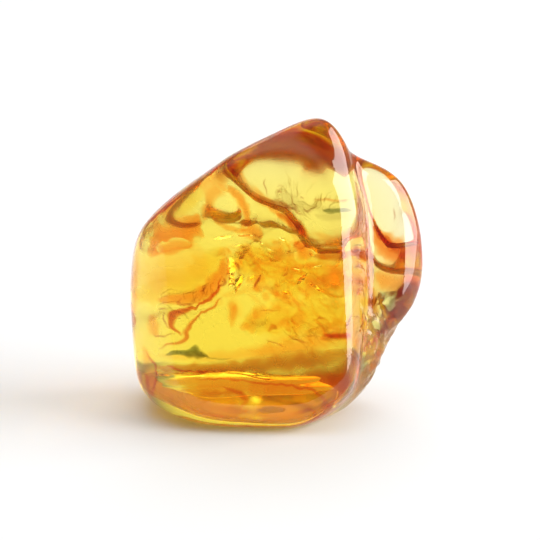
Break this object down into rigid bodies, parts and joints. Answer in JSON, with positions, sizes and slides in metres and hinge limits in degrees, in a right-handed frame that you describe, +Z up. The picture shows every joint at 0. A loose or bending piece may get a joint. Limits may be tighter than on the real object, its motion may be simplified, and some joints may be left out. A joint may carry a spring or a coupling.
{
  "type": "raw amber piece",
  "caption": "Irregular lump of clear amber that stands on a flat resting face, smooth in front, with broken ledges and pits on its back.",
  "frame": {"origin": "on the ground plane, under the middle of the lump's bounding box", "axes": "+Z up from the resting face, +X to the right of someone who faces the smooth front, +Y away from them, towards the broken back"},
  "size_m": [0.0442, 0.0286, 0.0447],
  "materials": {
    "amber": "clear honey resin with a smooth, naturally polished skin"
  },
  "bodies": {
    "root": {"amber_piece": "amber"}
  },
  "joints": []
}
